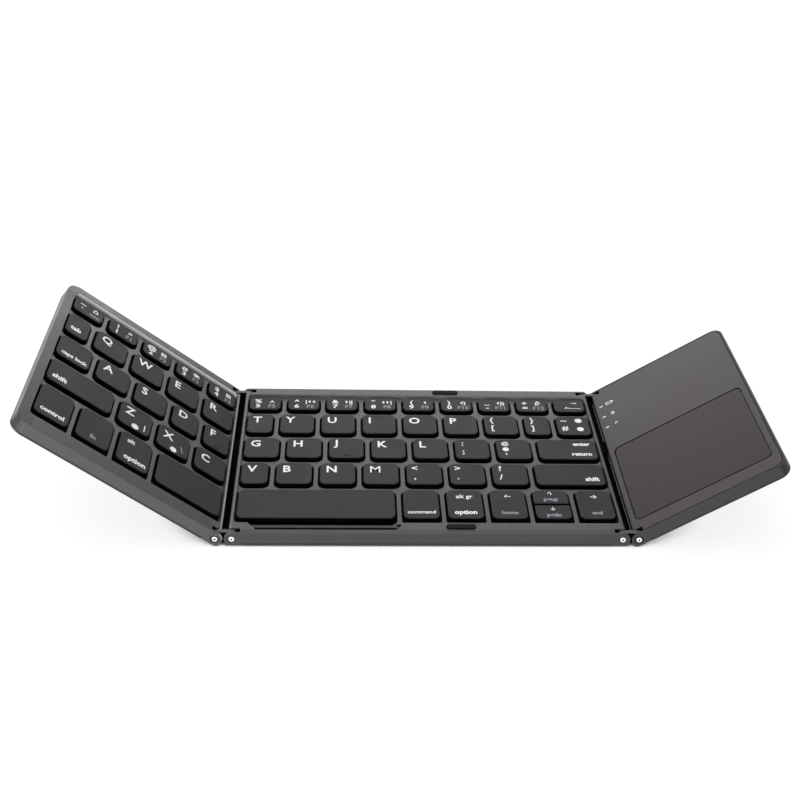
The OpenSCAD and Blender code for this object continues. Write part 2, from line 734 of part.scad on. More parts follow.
module indicator_lights() color("#e8ecef") at_right() light_places() {
  translate([0, 0, cover_low - light_flange_t]) linear_extrude(panel_thick - cover_low + light_flange_t) light_plan(0);
  translate([0, 0, cover_low - light_flange_t]) linear_extrude(light_flange_t) light_plan(light_flange);
  translate([0, 0, board_top + led_size[2] + light_gap])
    linear_extrude(cover_low - board_top - led_size[2] - light_gap) light_plan(0);
}
module right_screws() color("#9a9a9a") at_right() right_screw_places() screw();
module right_feet() color("#202020") at_right() foot_places(foot_end, right_len - foot_end) foot();
module right_magnet() color("#b4b4b8") at_right() translate([right_len - wall - magnet_w, 0, 0]) magnet();

// Hinges, drawn from the centre panel's pin with the wing's pin along +x
module link_profile() difference() {
  union() {
    circle(link_r);
    translate([link_pitch, 0]) circle(link_r);
    translate([0, -link_r]) square([link_pitch, 2 * link_r]);
  }
  circle(pin_r);
  translate([link_pitch, 0]) circle(pin_r);
}
module hinge_link() {
  front_and_rear() along_y(pocket_y + link_clear, pocket_y + link_clear + link_t) link_profile();
  translate([(link_pitch - spine_w) / 2, -pocket_y - link_clear - fit, fit - pin_z])
    cube([spine_w, 2 * (pocket_y + link_clear + fit), spine_t]);
}
module hinge_pin() {
  floor_y = half_d - counterbore_h + pin_clear;
  along_y(block_y + pin_tip + fit, floor_y + fit) circle(pin_r);
  translate([0, floor_y, 0]) rotate([-90, 0, 0]) difference() {
    rotate_extrude() intersection() {
      translate([0, pin_head_h - pin_head_r * 1.6]) circle(pin_head_r * 1.6);
      square([pin_head_r, pin_head_h]);
    }
    translate([0, 0, pin_head_h - 0.2]) cylinder(r = 0.3, h = over);
  }
}
module hinge_pins() for (x = [0, link_pitch]) translate([x, 0, 0]) front_and_rear() hinge_pin();

// Flat cable through a hinge: two straight runs and the bend between them, where
// fold raises the wing and lift is the height of the cable's seat in that wing
function turned(p, fold) = [
  link_pitch + p[0] * cos(fold) + p[1] * -sin(fold),
  p[0] * sin(fold) + p[1] * cos(fold)
];
module flex_cable(fold, lift, tail) {
  seat = membrane_top - pin_z;
  in_wing = lift - pin_z;
  run = [
    [end_reach - rim_hinge - flex_tail, seat],
    [link_pitch - end_reach, seat],
    turned([-end_reach, in_wing], fold),
    turned([tail, in_wing], fold)
  ];
  back = [for (i = [len(run) - 1 : -1 : 0]) run[i] + [0, flex_t]];
  along_y(flex_y - flex_w / 2, flex_y + flex_w / 2) polygon(concat(run, back));
}
module left_hinge_link() color("#4f4f52") at_left_hinge() hinge_link();
module left_hinge_pins() color("#e6e6e6") at_left_hinge() hinge_pins();
module left_flex_cable() color("#1c1c1e") at_left_hinge() flex_cable(left_fold, membrane_top, 1.4);
module right_hinge_link() color("#4f4f52") at_right_hinge() hinge_link();
module right_hinge_pins() color("#e6e6e6") at_right_hinge() hinge_pins();
module right_flex_cable() color("#1c1c1e") at_right_hinge() flex_cable(right_fold, board_top, 1.4);

// Arrow keys, one above the other
module arrow_key(box) color("#3b3b3d") at_centre() keycap(box);

centre_bottom_plate();
centre_key_frame();
centre_support_plate();
centre_membrane();
centre_scissors();
centre_domes();
centre_screws();
centre_feet();
rim_bumpers();
left_bottom_plate();
left_key_frame();
left_support_plate();
left_membrane();
left_scissors();
left_domes();
left_screws();
left_feet();
left_magnet();
right_bottom_plate();
right_frame();
right_cover();
touchpad_plate();
touchpad_board();
battery();
main_board();
charging_socket();
indicator_lights();
right_screws();
right_feet();
right_magnet();
left_hinge_link();
left_hinge_pins();
left_flex_cable();
right_hinge_link();
right_hinge_pins();
right_flex_cable();
left_keys(0, [0 : 4]);  // keys_left_number_row
left_keys(1, [0]);  // key_tab
left_keys(1, [1 : 4]);  // keys_left_upper_row
left_keys(2, [0]);  // key_caps_lock
left_keys(2, [1 : 2]);  // keys_left_home_row
left_keys(2, [3 : 4]);  // keys_left_home_narrow
left_keys(3, [0]);  // key_left_shift
left_keys(3, [1 : 3]);  // keys_left_lower_row
left_keys(last_row, [0 : 2]);  // keys_left_modifiers
left_keys(last_row, [3]);  // key_left_space
centre_keys(0, [0 : 8]);  // keys_centre_number_row
centre_keys(1, [0]);  // key_upper_narrow
centre_keys(1, [1 : 6]);  // keys_centre_upper_row
centre_keys(1, [7]);  // key_close_bracket
centre_keys(1, [8]);  // key_screen_lock
centre_keys(2, [0 : 6]);  // keys_centre_home_row
centre_keys(2, [7]);  // key_enter
centre_keys(3, [0]);  // key_lower_narrow
centre_keys(3, [1 : 6]);  // keys_centre_lower_row
centre_keys(3, [7]);  // key_right_shift
centre_keys(last_row, [0]);  // key_space
centre_keys(last_row, [1, 2, 3, 5]);  // keys_centre_bottom_row
arrow_key(rear_half(arrow_box, arrow_split));  // key_arrow_up
arrow_key(front_half(arrow_box, arrow_split));  // key_arrow_down
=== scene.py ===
import bpy
import bmesh
import json
from math import radians, sin, cos
from mathutils import Matrix, Vector


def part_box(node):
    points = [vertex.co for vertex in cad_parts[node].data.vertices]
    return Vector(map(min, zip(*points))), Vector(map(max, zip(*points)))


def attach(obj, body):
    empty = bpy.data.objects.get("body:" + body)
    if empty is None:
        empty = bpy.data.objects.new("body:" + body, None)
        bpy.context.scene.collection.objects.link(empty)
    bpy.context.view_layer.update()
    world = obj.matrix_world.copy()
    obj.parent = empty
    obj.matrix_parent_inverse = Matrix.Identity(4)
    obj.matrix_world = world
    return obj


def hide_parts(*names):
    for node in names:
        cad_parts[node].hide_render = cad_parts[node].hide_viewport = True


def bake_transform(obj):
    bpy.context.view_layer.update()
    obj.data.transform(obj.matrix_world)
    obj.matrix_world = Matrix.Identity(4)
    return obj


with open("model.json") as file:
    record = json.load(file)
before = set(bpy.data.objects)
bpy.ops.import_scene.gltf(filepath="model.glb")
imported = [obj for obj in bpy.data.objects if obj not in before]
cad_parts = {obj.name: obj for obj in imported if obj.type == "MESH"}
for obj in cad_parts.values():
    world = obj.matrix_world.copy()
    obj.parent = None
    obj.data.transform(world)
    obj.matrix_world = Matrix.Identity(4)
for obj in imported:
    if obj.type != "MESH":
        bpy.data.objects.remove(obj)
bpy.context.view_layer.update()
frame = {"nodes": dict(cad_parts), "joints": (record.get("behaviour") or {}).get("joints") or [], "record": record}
nodes = frame["nodes"]
joints = {joint["name"]: joint for joint in frame["joints"]}

# Camera
# The viewer looks down on the keyboard from in front of its left half, through a normal lens held a little
# askew. The centre of the view lies a little off the middle of the picture, as in a cropped photograph.
def placed(name, data):
    """A new object in the scene."""
    piece = bpy.data.objects.new(name, data)
    bpy.context.scene.collection.objects.link(piece)
    return piece


heading, dip, tilt = 0.07314, 0.57816, 0.04956
eye = (-0.025508, -0.390702, 0.292735)
look = Vector((sin(heading) * cos(dip), cos(heading) * cos(dip), -sin(dip)))
level = Vector((cos(heading), -sin(heading), 0))
above = level.cross(look)
camera_right = cos(tilt) * level + sin(tilt) * above
camera_up = -sin(tilt) * level + cos(tilt) * above
camera_data = bpy.data.cameras.new("camera")
camera_data.lens = 53.77
camera_data.sensor_width = 36
camera_data.shift_x = -0.01812
camera_data.shift_y = -0.00942
camera_data.clip_start = 0.01
camera = placed("camera", camera_data)
camera.matrix_world = Matrix.Translation(eye) @ Matrix((camera_right, camera_up, -look)).transposed().to_4x4()
bpy.context.scene.camera = camera
bpy.context.scene.view_settings.view_transform = "Standard"

# Table and studio
# A white table top with no edge in sight, and a white room around it. The camera and anything glossy see
# both as plain white. The table takes the keyboard's soft shadow, and its glow fades to a painted shade where the
# keyboard covers it.
def calculated(tree, operation, *values, clamp=False):
    """The result of a sum on sockets and numbers."""
    node = tree.nodes.new("ShaderNodeMath")
    node.operation = operation
    node.use_clamp = clamp
    for entry, value in zip(node.inputs, values):
        if isinstance(value, (int, float)):
            entry.default_value = value
        else:
            tree.links.new(value, entry)
    return node.outputs[0]


def white_to_viewers(tree, strength):
    paths = tree.nodes.new("ShaderNodeLightPath").outputs
    seen = calculated(tree, "ADD", paths["Is Camera Ray"], paths["Is Glossy Ray"], clamp=True)
    either = calculated(tree, "ADD", seen, paths["Is Transmission Ray"], clamp=True)
    return calculated(tree, "MULTIPLY", either, strength)


table_size = 4
table_grey = (0.32, 0.32, 0.32, 1)
table_white = 0.8
cover_reach = 0.025
covered, clear = 0.2, 0.38
bpy.ops.object.select_all(action="DESELECT")
bpy.ops.mesh.primitive_plane_add(size=table_size, location=(0, 0, 0))
table_top = bpy.context.object
table_top.name = "table_top"
table_paint = bpy.data.materials.new("table_paint")
table_paint.use_nodes = True
tree = table_paint.node_tree
tree.nodes.clear()
table_diffuse = tree.nodes.new("ShaderNodeBsdfDiffuse")
table_diffuse.inputs["Color"].default_value = table_grey
table_glow = tree.nodes.new("ShaderNodeEmission")
# Painted shade: the table's glow fades out where the keyboard lies close above it.
open_air = tree.nodes.new("ShaderNodeAmbientOcclusion")
open_air.samples = 8
open_air.inputs["Distance"].default_value = cover_reach
uncovered = tree.nodes.new("ShaderNodeMapRange")
uncovered.inputs["From Min"].default_value = covered
uncovered.inputs["From Max"].default_value = clear
tree.links.new(open_air.outputs["AO"], uncovered.inputs["Value"])
open_table = calculated(tree, "MULTIPLY", white_to_viewers(tree, table_white), uncovered.outputs["Result"])
tree.links.new(open_table, table_glow.inputs["Strength"])
table_sum = tree.nodes.new("ShaderNodeAddShader")
tree.links.new(table_diffuse.outputs[0], table_sum.inputs[0])
tree.links.new(table_glow.outputs[0], table_sum.inputs[1])
table_out = tree.nodes.new("ShaderNodeOutputMaterial")
tree.links.new(table_sum.outputs[0], table_out.inputs["Surface"])
table_top.data.materials.append(table_paint)

room = bpy.data.worlds.new("room")
bpy.context.scene.world = room
room.use_nodes = True
room_tree = room.node_tree
room_light = 0.45
room_glow = calculated(room_tree, "MAXIMUM", white_to_viewers(room_tree, 1), room_light)
room_background = room_tree.nodes["Background"]
room_background.inputs["Color"].default_value = (1, 1, 1, 1)
room_tree.links.new(room_glow, room_background.inputs["Strength"])


def softbox(name, place, aim, width, height, power):
    lamp = bpy.data.lights.new(name, "AREA")
    lamp.shape = "RECTANGLE"
    lamp.size = width
    lamp.size_y = height
    lamp.energy = power
    direction = Vector(aim) - Vector(place)
    turned = direction.to_track_quat("-Z", "Y").to_matrix().to_4x4()
    placed(name, lamp).matrix_world = Matrix.Translation(place) @ turned


softbox("softbox_above", (-0.15, 0.05, 0.9), (0, 0, 0.02), 0.9, 0.9, 3.2)
softbox("softbox_rear", (0, 0.95, 0.33), (0, 0, 0.02), 0.7, 0.25, 2.8)
softbox("softbox_left", (-0.5, -0.55, 0.12), (-0.1, 0, 0.03), 0.5, 0.24, 3.6)

# Panels
# Each of the three panels is modelled lying flat, in millimetres, with its underside at height zero and its
# hinge pin as the origin of a wing. These places then carry what is modelled to where the panel stands.
MM = 0.001
left_pin = Vector(joints["fold_left_outer"]["pos_m"])
right_pin = Vector(joints["fold_right_outer"]["pos_m"])
inner_pins = [Vector(joints[name]["pos_m"]) for name in ("fold_left_inner", "fold_right_inner")]
left_fold = radians(-joints["fold_left_outer"]["range_deg"][0])
right_fold = radians(-joints["fold_right_outer"]["range_deg"][0])
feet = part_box("centre_feet")
foot_height = feet[1].z - feet[0].z
pin_height = left_pin.z - foot_height
panel_thick = 2 * pin_height / MM
millimetres = Matrix.Scale(MM, 4)
centre_x = (inner_pins[0].x + inner_pins[1].x) / 2
centre_place = Matrix.Translation((centre_x, 0, foot_height)) @ millimetres
left_place = (Matrix.Translation(left_pin) @ Matrix.Rotation(left_fold, 4, "Y")
              @ Matrix.Translation((0, 0, -pin_height)) @ millimetres)
right_place = (Matrix.Translation(right_pin) @ Matrix.Rotation(-right_fold, 4, "Y")
               @ Matrix.Translation((0, 0, -pin_height)) @ millimetres)
places = {"centre_panel": centre_place, "left_wing": left_place, "right_wing": right_place}
sharp_turn = 35


def local_mesh(node, place):
    mesh = nodes[node].data.copy()
    mesh.transform(place.inverted())
    mesh.materials.clear()
    return mesh


def finish_piece(piece, name, body, slot, material, *replaced):
    piece.name = name
    piece.data.name = name
    piece.data.materials.clear()
    piece.data.materials.append(material)
    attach(piece, body)
    if replaced:
        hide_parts(*replaced)


def merged_shape(mesh):
    """A mesh in millimetres with its loose triangles joined up."""
    shape = bmesh.new()
    shape.from_mesh(mesh)
    bmesh.ops.remove_doubles(shape, verts=shape.verts, dist=0.002)
    return shape


def pick_up(piece):
    """Makes a piece the active one, and the only one selected."""
    bpy.ops.object.select_all(action="DESELECT")
    piece.select_set(True)
    bpy.context.view_layer.objects.active = piece


def shaded(piece, turn):
    """Smooth shading over edges that turn less than an angle, with the flat faces kept flat."""
    bpy.ops.object.shade_smooth_by_angle(angle=radians(turn))
    weighted = piece.modifiers.new("normals", "WEIGHTED_NORMAL")
    weighted.keep_sharp = True
    bpy.ops.object.modifier_apply(modifier=weighted.name)


def softened(node, place, edge, chamfer=None, parting=None):
    """Copy of a rigid node with its edges rounded. A chamfer first cuts some edges off at 45 degrees: it is a
    width and a rule for an edge's two ends. Faces are cut apart at the y of a parting."""
    mesh = local_mesh(node, place)
    shape = merged_shape(mesh)
    bmesh.ops.dissolve_limit(shape, angle_limit=radians(1), verts=shape.verts, edges=shape.edges)
    if chamfer:
        width, rule = chamfer
        cut = [side for side in shape.edges if all(rule(vert.co) for vert in side.verts)]
        bmesh.ops.bevel(shape, geom=cut, offset=width, segments=1, affect="EDGES")
    if parting:
        everything = shape.verts[:] + shape.edges[:] + shape.faces[:]
        bmesh.ops.bisect_plane(shape, geom=everything, plane_co=(0, parting, 0), plane_no=(0, 1, 0))
    shape.to_mesh(mesh)
    shape.free()
    piece = placed(node + "_softened", mesh)
    pick_up(piece)
    bpy.ops.mesh.customdata_custom_splitnormals_clear()
    bevel = piece.modifiers.new("edges", "BEVEL")
    bevel.width = edge
    bevel.segments = 2
    bevel.limit_method = "ANGLE"
    bevel.angle_limit = radians(sharp_turn)
    bevel.use_clamp_overlap = False
    bevel.miter_outer = "MITER_ARC"
    bpy.ops.object.modifier_apply(modifier=bevel.name)
    shaded(piece, sharp_turn)
    piece.data.transform(place)
    return piece


def surface(name, colour, roughness, grain, depth, mottle=0.06, metallic=0, specular=0.5, smudge=0.05,
            second=None, patch=11):
    """Plain surface with a fine grain, uneven tone and slightly uneven gloss. Sizes are in millimetres."""
    material = bpy.data.materials.new(name)
    material.use_nodes = True
    tree = material.node_tree
    shader = tree.nodes["Principled BSDF"]
    shader.inputs["Metallic"].default_value = metallic
    shader.inputs["Specular IOR Level"].default_value = specular
    where = tree.nodes.new("ShaderNodeTexCoord")
    patches = tree.nodes.new("ShaderNodeTexNoise")
    patches.inputs["Scale"].default_value = 1 / (patch * MM)
    patches.inputs["Detail"].default_value = 3
    tree.links.new(where.outputs["Object"], patches.inputs["Vector"])
    tone = tree.nodes.new("ShaderNodeMix")
    tone.data_type = "RGBA"
    tone.inputs[6].default_value = [c * (1 - mottle) for c in colour] + [1]
    tone.inputs[7].default_value = [c * (1 + mottle) for c in second or colour] + [1]
    tree.links.new(patches.outputs["Fac"], tone.inputs["Factor"])
    tree.links.new(tone.outputs[2], shader.inputs["Base Color"])
    gloss = tree.nodes.new("ShaderNodeMapRange")
    gloss.inputs["From Min"].default_value = 0.3
    gloss.inputs["From Max"].default_value = 0.7
    gloss.inputs["To Min"].default_value = roughness - smudge
    gloss.inputs["To Max"].default_value = roughness + smudge
    tree.links.new(patches.outputs["Fac"], gloss.inputs["Value"])
    tree.links.new(gloss.outputs["Result"], shader.inputs["Roughness"])
    fine = tree.nodes.new("ShaderNodeTexNoise")
    fine.inputs["Scale"].default_value = 1 / (grain * MM)
    fine.inputs["Detail"].default_value = 2
    tree.links.new(where.outputs["Object"], fine.inputs["Vector"])
    bump = tree.nodes.new("ShaderNodeBump")
    bump.inputs["Distance"].default_value = depth * MM
    tree.links.new(fine.outputs["Fac"], bump.inputs["Height"])
    tree.links.new(bump.outputs["Normal"], shader.inputs["Normal"])
    return material


def recoloured(material, amount, colour):
    """Lays another colour over a surface, by an amount from 0 to 1."""
    tree = material.node_tree
    base = tree.nodes["Principled BSDF"].inputs["Base Color"]
    mix = tree.nodes.new("ShaderNodeMix")
    mix.data_type = "RGBA"
    tree.links.new(amount, mix.inputs["Factor"])
    tree.links.new(base.links[0].from_socket, mix.inputs[6])
    mix.inputs[7].default_value = colour + (1,)
    tree.links.new(mix.outputs[2], base)


def tinted(material, attribute, colour, *masks):
    """Lays another colour where an attribute or one of the masks says so."""
    tree = material.node_tree
    mark = tree.nodes.new("ShaderNodeAttribute")
    mark.attribute_name = attribute
    amount = mark.outputs["Fac"]
    for mask in masks:
        amount = calculated(tree, "MAXIMUM", amount, mask)
    recoloured(material, amount, colour)


def marked(piece, attribute, place, rule):
    """Gives each face of a piece the value of a rule on its centre and normal, in its panel's millimetres."""
    back = place.inverted()
    turn = back.to_3x3().normalized()
    marks = piece.data.attributes.new(attribute, "FLOAT", "FACE")
    marks.data.foreach_set("value", [float(rule(back @ face.center, turn @ face.normal))
                                     for face in piece.data.polygons])
    return piece


# Key frames
# The middle panel and the left wing each have a moulded frame, sprayed in a dark satin grey: raised rims, a
# sunk web between the keys, and hinge lugs at the corners. Painted shade darkens the finger recess, the hinge gaps
# and parts of the rims and front faces, and painted highlights light up the wall behind the keys and the hinge
# edges.
def inside(tree, low, high, amount):
    """Mask that holds an amount between two corners in metres, and nothing elsewhere."""
    where = tree.nodes.new("ShaderNodeTexCoord")
    off_centre = tree.nodes.new("ShaderNodeVectorMath")
    off_centre.operation = "SUBTRACT"
    off_centre.inputs[1].default_value = [(a + b) / 2 for a, b in zip(low, high)]
    tree.links.new(where.outputs["Object"], off_centre.inputs[0])
    away = tree.nodes.new("ShaderNodeVectorMath")
    away.operation = "ABSOLUTE"
    tree.links.new(off_centre.outputs[0], away.inputs[0])
    axes = tree.nodes.new("ShaderNodeSeparateXYZ")
    tree.links.new(away.outputs[0], axes.inputs[0])
    mask = amount
    for axis in range(3):
        near = calculated(tree, "LESS_THAN", axes.outputs[axis], (high[axis] - low[axis]) / 2)
        mask = calculated(tree, "MULTIPLY", near, mask)
    return mask


frame_paint = surface("frame_paint", (0.078, 0.076, 0.079), 0.36, 0.25, 0.01, specular=0.3)
# A gloss-less black and a near black, for painted shade in gaps, slots and under the caps.
unsprayed_black = surface("unsprayed_black", (0.0015, 0.0015, 0.0015), 0.9, 0.3, 0.01, specular=0.02)
# Near white, for the printed ink and for painted highlights.
ink_and_highlight_white = (0.95, 0.95, 0.96)
shade_dark = (0.005, 0.005, 0.005)
far = 1
rim_top = foot_height + (panel_thick - 0.3) * MM
rim_front_y, wing_rim_y = -0.0488, -0.0424
recess_x, recess_y, recess_z = 0.07, (-0.0465, -0.0425), foot_height + 3 * MM
frame_tree = frame_paint.node_tree
# Painted shade: the finger recess floor, the centre's front rim and the left wing's front and outer rims are
# darkened where less light falls.
recess_floor_shade = inside(frame_tree, (centre_x - recess_x, recess_y[0], recess_z),
                      (centre_x + recess_x, recess_y[1], rim_top), 0.7)
front_rim_x = 0.08
front_rim_shade = inside(frame_tree, (centre_x - front_rim_x, rim_front_y, rim_top),
                   (centre_x + front_rim_x, recess_y[0], far), 0.3)
left_front_rim_shade = inside(frame_tree, (-far, rim_front_y, 0), (left_pin.x - MM, wing_rim_y, far), 0.4)
outer_rim_x = (left_place @ Vector((-78, 0, panel_thick))).x
left_outer_rim_shade = inside(frame_tree, (-far, rim_front_y, 0), (outer_rim_x, 0.043, far), 0.6)
# Painted highlights where faces are marked for them; painted shade where faces are marked dark or a mask holds.
tinted(frame_paint, "bright", ink_and_highlight_white)
tinted(frame_paint, "unsprayed", shade_dark, recess_floor_shade, front_rim_shade, left_front_rim_shade, left_outer_rim_shade)
frame_edge = 0.2
half_depth = 49
front_face = 0.6 - half_depth
rear_wall = (43, 46)
wall_depth = 1.4
square_on = 0.92
recess_line = -44
end_reach, bore_reach, block_reach = 1.4, 1.75, 6
centre_half = 73.2
slot_y = (45.8, 48.3)
full_mark = 0.95


def hinge_shade(across, y, height, normal):
    """Painted shade at a panel's end: the walls of the hinge gap, the slot for the link and a ring round each pin
    head. Across is the way outwards from its hinge pin, and height is from the pin.
    """
    if across > end_reach - 0.3 and abs(normal.x) > 0.5 and abs(y) < half_depth - 1.2:
        return 1
    if across > -block_reach and slot_y[0] < abs(y) < slot_y[1] and height < panel_thick / 2 - 0.25:
        return 1
    if across > -block_reach and half_depth - 0.6 < abs(y) < half_depth - 0.15 and abs(normal.y) > 0.9:
        return 0.9 if Vector((across, height)).length < bore_reach + 0.1 else 0
    return 0


def centre_shade(spot, normal):
    """Painted shade: the line behind the finger recess, the front face, and the two ends."""
    if abs(spot.x) < 69 and -46.9 < spot.y < recess_line and 4 < spot.z and (spot.z < 4.5 or normal.y > 0.2):
        return 1
    if spot.y < front_face and normal.y < -0.25:
        return 0.12 if normal.y < -square_on else 0.35
    return hinge_shade(abs(spot.x) - centre_half, spot.y, spot.z - panel_thick / 2, normal)


def left_shade(spot, normal):
    """Painted shade at the hinge end, and darker soft edges along the outer and the rear rim."""
    outer_edge = -square_on < normal.x < -0.25
    rear_edge = 0.25 < normal.y < square_on and spot.y > 47
    if spot.z > panel_thick - 0.3 and (outer_edge or rear_edge):
        return 0.6
    return hinge_shade(spot.x, spot.y, spot.z - panel_thick / 2, normal)


def on_rear_wall(spot, normal):
    """Whether a face is on the wall behind the keys, or on its chamfer."""
    return rear_wall[0] < spot.y < rear_wall[1] and spot.z > panel_thick - wall_depth and normal.y < -0.5


def left_highlights(spot, normal):
    """Painted highlights: the wall behind the keys, the outer end, the hinge edge and, faintly, the front."""
    if on_rear_wall(spot, normal):
        return 1
    if normal.x < -square_on and spot.x < -40 and abs(spot.y) < half_depth - 1:
        return 0.12
    if 0.05 < normal.x < 0.9 and spot.x > -1 and spot.z > panel_thick - 1.5:
        return 0.55
    return 0.03 if normal.y < -square_on and spot.y < front_face else 0


def centre_highlights(spot, normal):
    """Painted highlights: the wall behind the keys and the left hinge edge."""
    if on_rear_wall(spot, normal):
        return 0.16
    return 0.08 if spot.x < 0 and -0.9 < normal.x < -0.05 and spot.z > panel_thick - 1.5 else 0


def behind_keys(corner):
    return rear_wall[0] < corner.y < rear_wall[1] and corner.z > panel_thick - 0.1


def shade_blackened(piece):
    """Gives the faces deepest in painted shade a second material, black and without gloss."""
    piece.data.materials.append(unsprayed_black)
    for face, mark in zip(piece.data.polygons, piece.data.attributes["unsprayed"].data):
        face.material_index = int(mark.value > full_mark)


left_frame = softened("left_key_frame", left_place, frame_edge, chamfer=(0.45, behind_keys))
marked(left_frame, "unsprayed", left_place, left_shade)
marked(left_frame, "bright", left_place, left_highlights)
finish_piece(left_frame, "left_frame", "left_wing", "frame_plastic", frame_paint, "left_key_frame")
shade_blackened(left_frame)
centre_frame = softened("centre_key_frame", centre_place, frame_edge, parting=recess_line)
marked(centre_frame, "unsprayed", centre_place, centre_shade)
marked(centre_frame, "bright", centre_place, centre_highlights)
finish_piece(centre_frame, "centre_frame", "centre_panel", "frame_plastic", frame_paint, "centre_key_frame")
shade_blackened(centre_frame)

# Keycaps
# Sixty-four caps of dark matt plastic. One is shaped with round corners, sides that slope down to an
# upright foot, a soft top edge, a faint dish and a hollow below. It is then stretched to each key's size.
def solids_of(shape):
    """The vertices of each separate solid in a mesh."""
    waiting = set(shape.verts)
    groups = []
    while waiting:
        reached = [waiting.pop()]
        for vert in reached:
            for edge in vert.link_edges:
                other = edge.other_vert(vert)
                if other in waiting:
                    waiting.remove(other)
                    reached.append(other)
        groups.append(reached)
    return groups


def corners_of(verts):
    """The low and the high corner of the box around some vertices."""
    return [Vector([pick(vert.co[axis] for vert in verts) for axis in range(3)]) for pick in (min, max)]


def solid_boxes(node, place):
    """Low and high corner of each solid of a node, in its panel's millimetres, from left to right."""
    shape = merged_shape(local_mesh(node, place))
    boxes = [corners_of(verts) for verts in solids_of(shape)]
    shape.free()
    return sorted(boxes, key=lambda box: (round(box[0].x, 1), box[0].y))


def choose(kind, test):
    """In edit mode, leaves only the faces, edges or verts selected that pass a test."""
    bpy.ops.mesh.select_mode(type={"verts": "VERT", "edges": "EDGE", "faces": "FACE"}[kind])
    bpy.ops.mesh.select_all(action="DESELECT")
    mesh = bpy.context.object.data
    shape = bmesh.from_edit_mesh(mesh)
    shape.normal_update()
    for element in getattr(shape, kind):
        if test(element):
            element.select_set(True)
    bmesh.update_edit_mesh(mesh)


def block(low, high):
    """A new box between two corners, in edit mode."""
    bpy.ops.object.select_all(action="DESELECT")
    bpy.ops.mesh.primitive_cube_add(size=1)
    box = bpy.context.object
    for vert in box.data.vertices:
        vert.co = Vector([(low[i] + high[i]) / 2 + vert.co[i] * (high[i] - low[i]) for i in range(3)])
    bpy.ops.object.mode_set(mode="EDIT")
    return box


def smoothed(piece, turn=sharp_turn):
    """Ends the work in edit mode and shades the piece."""
    bpy.ops.object.mode_set(mode="OBJECT")
    pick_up(piece)
    shaded(piece, turn)


def joined(pieces):
    bpy.ops.object.select_all(action="DESELECT")
    for piece in pieces:
        piece.select_set(True)
    bpy.context.view_layer.objects.active = pieces[0]
    if len(pieces) > 1:
        bpy.ops.object.join()
    return pieces[0]


cap_corner, cap_foot, cap_wall, cap_skin, cap_edge = 2.4, 0.4, 0.8, 0.9, 0.3
cap_turn = 50
corner_sharpness = 0.85
straight_sides = {"key_arrow_up": -1, "key_arrow_down": 1}
dish = [(0.7, 0.015), (0.9, 0.025)]
skirt_side, skirt_front, skirt_rear = 0.25, 0.6, 0.1
model_low, model_high = solid_boxes("keys_left_home_row", left_place)[0]
cap_rise = model_high.z - model_low.z
model_w = model_high.x - model_low.x
model_d = model_high.y - model_low.y
cap = block((-model_w / 2, -model_d / 2, -cap_rise), (model_w / 2, model_d / 2, cap_foot - cap_rise))
choose("edges", lambda edge: abs(edge.verts[0].co.z - edge.verts[1].co.z) > cap_foot / 2)
bpy.ops.mesh.bevel(offset=cap_corner, segments=6, affect="EDGES")
choose("faces", lambda face: face.normal.z > 0.9)
top_shift = (skirt_front - skirt_rear) / 2
bpy.ops.mesh.extrude_region_move(TRANSFORM_OT_translate={"value": (0, top_shift, cap_rise - cap_foot)})
narrowed = (1 - 2 * skirt_side / model_w, 1 - (skirt_front + skirt_rear) / model_d, 1)
bpy.ops.transform.resize(value=narrowed, center_override=(0, top_shift, 0))
choose("edges", lambda edge: all(vert.co.z > -0.01 for vert in edge.verts))
bpy.ops.mesh.bevel(offset=cap_edge, segments=3, affect="EDGES")
choose("faces", lambda face: face.normal.z > 0.99)
for inset, drop in dish:
    bpy.ops.mesh.inset(thickness=inset)
    bpy.ops.transform.translate(value=(0, 0, -drop))
choose("faces", lambda face: face.normal.z < -0.9)
bpy.ops.mesh.inset(thickness=cap_wall)
bpy.ops.mesh.extrude_region_move(TRANSFORM_OT_translate={"value": (0, 0, cap_rise - cap_skin)})
smoothed(cap, cap_turn)
below = cap.data.attributes.new("below", "FLOAT", "POINT")
below.data.foreach_set("value", [-vert.co.z for vert in cap.data.vertices])


def sharpen_corner(vert, side):
    """Moves a vertex of a round corner out to a nearly square one, on the front (-1) or rear (1) side, as the
    two half-height arrow keys have where they meet."""
    lift = min(max((vert.co.z + cap_rise - cap_foot) / (cap_rise - cap_foot), 0), 1)
    turn = 1 if vert.co.x > 0 else -1
    skirt = skirt_front if side < 0 else skirt_rear
    centre = Vector((turn * (model_w / 2 - cap_corner - skirt_side * lift),
                     side * (model_d / 2 - cap_corner - skirt * lift)))
    away = Vector(((vert.co.x - centre.x) * turn, (vert.co.y - centre.y) * side))
    if away.x > 0 and away.y > 0:
        reach = 1 + corner_sharpness * (away.length / max(away) - 1)
        vert.co.x = centre.x + turn * away.x * reach
        vert.co.y = centre.y + side * away.y * reach


def stretched_cap(low, high, top, straight_side=0):
    """Copy of the cap with its halves moved apart to fit a key's box, so that its corners stay round."""
    mesh = cap.data.copy()
    grow = ((high.x - low.x - model_w) / 2, (high.y - low.y - model_d) / 2)
    for vert in mesh.vertices:
        if straight_side:
            sharpen_corner(vert, straight_side)
        vert.co.x += (low.x + high.x) / 2 + (grow[0] if vert.co.x > 0 else -grow[0])
        vert.co.y += (low.y + high.y) / 2 + (grow[1] if vert.co.y > 0 else -grow[1])
        vert.co.z += top
    return placed("cap", mesh)


bar_w, bar_d, bar_h = 3, 0.5, 0.15
bar_in = 1.6
bar_edge = 0.12


def home_bar(low, high, top):
    """The raised bar that a finger feels on the F and J keys."""
    left = (low.x + high.x - bar_w) / 2
    front = low.y + skirt_front + bar_in
    bar = block((left, front, top - bar_h), (left + bar_w, front + bar_d, top + bar_h))
    bpy.ops.mesh.select_all(action="SELECT")
    bpy.ops.mesh.bevel(offset=bar_edge, segments=2, affect="EDGES")
    smoothed(bar)
    bar.data.attributes.new("below", "FLOAT", "POINT")
    return bar


